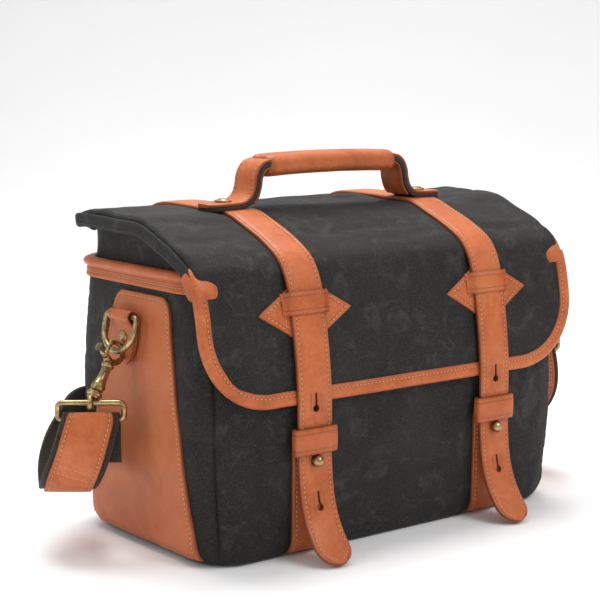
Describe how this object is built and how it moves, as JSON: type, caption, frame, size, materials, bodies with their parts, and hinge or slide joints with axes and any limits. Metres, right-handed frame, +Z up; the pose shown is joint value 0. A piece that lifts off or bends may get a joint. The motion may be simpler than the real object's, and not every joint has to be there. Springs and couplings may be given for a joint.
{
  "type": "camera bag",
  "caption": "Box-shaped padded camera bag in waxed canvas with leather trims, a lid held by two strap tails, a top handle and a shoulder strap.",
  "frame": {"origin": "on the floor, midway between the two straps and midway front to back", "axes": "+X to the right seen from the front, -Y the front, +Z up"},
  "size_m": [0.4462, 0.2783, 0.264],
  "materials": {
    "canvas": "waxed, matte, mottled",
    "leather": "smooth, semi-matte",
    "webbing": "coarse woven",
    "brass": "antique, polished on the high spots",
    "lining": "padded, brushed",
    "core": "matte"
  },
  "bodies": {
    "bag": {"canvas_bottom": "canvas", "canvas_front": "canvas", "canvas_back": "canvas", "gusset_left": "canvas", "gusset_right": "canvas", "collar": "lining", "rim_binding": "leather", "side_panel_left": "leather", "side_panel_right": "leather", "padded_liner": "lining", "lower_strap_left": "leather", "lower_strap_right": "leather", "stud_left": "brass", "stud_right": "brass", "ring_tab_left": "leather", "ring_tab_right": "leather", "tab_rivet_left": "brass", "tab_rivet_right": "brass"},
    "lid_top": {"flap_top_canvas": "canvas", "top_strap_left": "leather", "top_strap_right": "leather", "handle_foot_left": "leather", "handle_foot_right": "leather", "handle_rivet_left": "brass", "handle_rivet_right": "brass"},
    "lid_front": {"flap_front_canvas": "canvas", "flap_binding": "leather", "corner_tab_left": "leather", "corner_tab_right": "leather", "diamond_patch_left": "leather", "diamond_patch_right": "leather", "mid_strap_left": "leather", "mid_strap_right": "leather"},
    "handle": {"handle_band": "leather", "handle_core": "core", "handle_lining": "leather", "handle_grip": "leather"},
    "shoulder_strap": {"shoulder_webbing": "webbing", "strap_leather_left": "leather", "strap_leather_right": "leather", "hook_swivel_left": "brass", "hook_swivel_right": "brass", "strap_ring_left": "brass", "strap_ring_right": "brass"},
    "tail_left": {"strap_tail_left": "leather"},
    "keeper_left": {"strap_keeper_left": "leather"},
    "ring_left": {"d_ring_left": "brass"},
    "hook_left": {"hook_claw_left": "brass"},
    "gate_left": {"hook_gate_left": "brass"},
    "divider_left": {"divider_left": "lining"},
    "tail_right": {"strap_tail_right": "leather"},
    "keeper_right": {"strap_keeper_right": "leather"},
    "ring_right": {"d_ring_right": "brass"},
    "hook_right": {"hook_claw_right": "brass"},
    "gate_right": {"hook_gate_right": "brass"},
    "divider_right": {"divider_right": "lining"}
  },
  "joints": [
    {"name": "lid_open", "type": "hinge", "parent": "bag", "child": "lid_top", "pos_m": [0, 0.0904, 0.2067], "axis": [1, 0, 0], "range_deg": [-110, 0]},
    {"name": "lid_front_fold", "type": "hinge", "parent": "lid_top", "child": "lid_front", "pos_m": [0, -0.0805, 0.191], "axis": [1, 0, 0], "range_deg": [-80, 0]},
    {"name": "handle_tilt", "type": "hinge", "parent": "lid_top", "child": "handle", "pos_m": [0, 0, 0.231], "axis": [1, 0, 0], "range_deg": [-30, 30]},
    {"name": "strap_swing", "type": "hinge", "parent": "bag", "child": "shoulder_strap", "pos_m": [0, 0.004, 0.1545], "axis": [1, 0, 0], "range_deg": [0, 25]},
    {"name": "tail_lift_left", "type": "hinge", "parent": "lid_front", "child": "tail_left", "pos_m": [-0.0815, -0.0876, 0.1666], "axis": [1, 0, 0], "range_deg": [-70, 0]},
    {"name": "keeper_slide_left", "type": "slide", "parent": "tail_left", "child": "keeper_left", "axis": [0, 0.012, 0.9999], "range_m": [0, 0.012]},
    {"name": "ring_swing_left", "type": "hinge", "parent": "bag", "child": "ring_left", "pos_m": [-0.16738, 0.004, 0.16], "axis": [0, 1, 0], "range_deg": [0, 2]},
    {"name": "hook_swivel_left", "type": "hinge", "parent": "shoulder_strap", "child": "hook_left", "pos_m": [-0.17449, 0.0037, 0.13566], "axis": [0.5998, 0.1999, 0.7748], "range_deg": [-15, 15]},
    {"name": "hook_gate_left", "type": "hinge", "parent": "hook_left", "child": "gate_left", "pos_m": [-0.18124, 0.0029, 0.13593], "axis": [0.1224, -0.9798, 0.1581], "range_deg": [-11, 0], "stiffness_Nm_per_rad": 0.02, "springref_deg": 17.19},
    {"name": "divider_move_left", "type": "slide", "parent": "bag", "child": "divider_left", "axis": [1, 0, 0], "range_m": [-0.03, 0.03]},
    {"name": "tail_lift_right", "type": "hinge", "parent": "lid_front", "child": "tail_right", "pos_m": [0.0815, -0.0876, 0.1666], "axis": [1, 0, 0], "range_deg": [-70, 0]},
    {"name": "keeper_slide_right", "type": "slide", "parent": "tail_right", "child": "keeper_right", "axis": [0, 0.012, 0.9999], "range_m": [0, 0.012]},
    {"name": "ring_swing_right", "type": "hinge", "parent": "bag", "child": "ring_right", "pos_m": [0.16738, 0.004, 0.16], "axis": [0, 1, 0], "range_deg": [-2, 0]},
    {"name": "hook_swivel_right", "type": "hinge", "parent": "shoulder_strap", "child": "hook_right", "pos_m": [0.18005, 0.00322, 0.13813], "axis": [-0.4503, 0.5204, 0.7255], "range_deg": [-15, 15]},
    {"name": "hook_gate_right", "type": "hinge", "parent": "hook_right", "child": "gate_right", "pos_m": [0.18653, 0.00114, 0.13813], "axis": [0.2744, 0.8539, -0.4421], "range_deg": [-11, 0], "stiffness_Nm_per_rad": 0.02, "springref_deg": 17.19},
    {"name": "divider_move_right", "type": "slide", "parent": "bag", "child": "divider_right", "axis": [1, 0, 0], "range_m": [-0.03, 0.03]}
  ]
}
